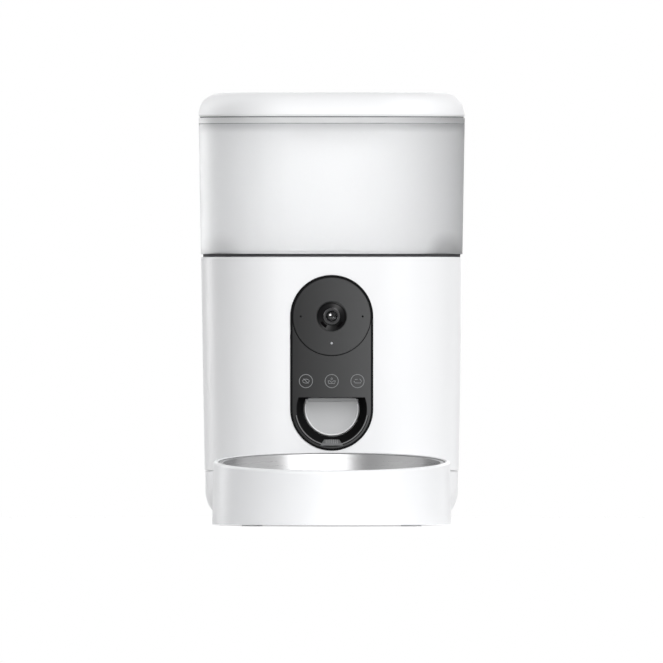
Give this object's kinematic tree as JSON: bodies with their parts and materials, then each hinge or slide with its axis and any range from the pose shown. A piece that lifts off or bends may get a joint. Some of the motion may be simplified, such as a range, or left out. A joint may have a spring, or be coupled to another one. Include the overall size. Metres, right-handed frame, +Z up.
{
  "type": "automatic pet feeder with camera",
  "caption": "White tower pet feeder with frosted food hopper, round-cornered lid, dark camera and outlet panel, and a tilted steel bowl in a round tray.",
  "frame": {"origin": "middle of the whole footprint on the floor, under tower and tray", "axes": "+Z up, the camera and bowl face -Y, +X to the right as seen from the front"},
  "size_m": [0.1958, 0.3416, 0.3174],
  "materials": {
    "white_gloss": "polished",
    "frosted": "fine frost",
    "dark_trim": "polished",
    "smoke_face": "satin",
    "grey_plastic": "moulded satin",
    "bright_steel": "spun and polished",
    "plain_steel": "plain",
    "brass": "machined",
    "board": "solder mask",
    "rubber": "matt",
    "cell_jacket": "printed sleeve",
    "lens": "coated",
    "ivory_plastic": "moulded",
    "light_pipe": "clear satin",
    "window_red": "dark infrared-clear"
  },
  "bodies": {
    "housing": {"front_cover": "white_gloss", "rear_housing": "white_gloss", "base_pan": "white_gloss", "hopper_gasket": "rubber", "inner_deck": "grey_plastic", "chute": "grey_plastic", "panel_bezel": "dark_trim", "camera_disc": "smoke_face", "key_plate": "smoke_face", "lens_ring": "dark_trim", "infrared_windows": "window_red", "lens_barrel": "dark_trim", "lens_glass": "lens", "lens_mount": "dark_trim", "camera_board": "board", "infrared_board": "board", "status_light": "light_pipe", "microphones": "plain_steel", "key_board": "board", "key_springs": "brass", "outlet_throat": "dark_trim", "outlet_lip": "grey_plastic", "flap_pin": "plain_steel", "motor": "plain_steel", "idler_pin": "plain_steel", "shaft_bush": "brass", "gear_case": "grey_plastic", "gear_cover": "grey_plastic", "main_board": "board", "power_port": "plain_steel", "reset_switch": "dark_trim", "speaker": "dark_trim", "cells": "cell_jacket", "cell_contacts": "plain_steel", "door_pin": "plain_steel", "base_feet": "rubber", "deck_screws": "plain_steel"},
    "lid": {"lid_cover": "white_gloss", "lid_liner": "white_gloss", "lid_seal": "rubber", "dry_box": "white_gloss"},
    "cap": {"dry_cap": "grey_plastic"},
    "hopper": {"hopper_tank": "frosted", "portion_cup": "white_gloss", "drop_baffle": "grey_plastic"},
    "wheel": {"portion_wheel": "ivory_plastic", "vane_tips": "rubber", "stirrer": "plain_steel"},
    "output": {"output_gear": "ivory_plastic", "drive_shaft": "plain_steel"},
    "idler": {"idler_gear": "ivory_plastic"},
    "pinion": {"motor_pinion": "brass"},
    "flap": {"outlet_flap": "grey_plastic"},
    "button": {"reset_button": "rubber"},
    "door": {"cell_door": "white_gloss"},
    "tray": {"tray_shell": "white_gloss", "tray_floor": "white_gloss", "tray_feet": "rubber"},
    "bowl": {"steel_bowl": "bright_steel"}
  },
  "joints": [
    {"name": "hopper_lift", "type": "slide", "parent": "housing", "child": "hopper", "axis": [0, 0, 1], "range_m": [0, 0.09]},
    {"name": "lid_lift", "type": "slide", "parent": "hopper", "child": "lid", "axis": [0, 0, 1], "range_m": [0, 0.05]},
    {"name": "cap_twist", "type": "hinge", "parent": "lid", "child": "cap", "pos_m": [0, 0.08658, 0.284], "axis": [0, 0, 1], "range_deg": [0, 30]},
    {"name": "wheel_spin", "type": "hinge", "parent": "hopper", "child": "wheel", "pos_m": [0, 0.09658, 0.13], "axis": [0, 0, 1], "continuous": true},
    {"name": "output_spin", "type": "hinge", "parent": "housing", "child": "output", "pos_m": [0, 0.09658, 0.085], "axis": [0, 0, 1], "continuous": true},
    {"name": "idler_spin", "type": "hinge", "parent": "housing", "child": "idler", "pos_m": [0.01992, 0.11329, 0.085], "axis": [0, 0, 1], "continuous": true},
    {"name": "pinion_spin", "type": "hinge", "parent": "housing", "child": "pinion", "pos_m": [0.04247, 0.1215, 0.085], "axis": [0, 0, 1], "continuous": true},
    {"name": "flap_swing", "type": "hinge", "parent": "housing", "child": "flap", "pos_m": [0, 0.02772, 0.09203], "axis": [-1, 0, 0], "range_deg": [0, 45]},
    {"name": "button_press", "type": "slide", "parent": "housing", "child": "button", "axis": [0, -1, 0], "range_m": [0, 0.001], "stiffness_N_per_m": 400},
    {"name": "door_swing", "type": "hinge", "parent": "housing", "child": "door", "pos_m": [0, 0.13733, 0.0011], "axis": [1, 0, 0], "range_deg": [0, 95]},
    {"name": "tray_pull", "type": "slide", "parent": "housing", "child": "tray", "axis": [0, -1, 0], "range_m": [0, 0.05]},
    {"name": "bowl_lift", "type": "slide", "parent": "tray", "child": "bowl", "axis": [0, -0.075, 0.9972], "range_m": [0, 0.07]}
  ],
  "couplings": [
    {"joint": "output_spin", "follows": "wheel_spin", "ratio": 1},
    {"joint": "idler_spin", "follows": "wheel_spin", "ratio": -3.3333},
    {"joint": "pinion_spin", "follows": "wheel_spin", "ratio": 10}
  ]
}
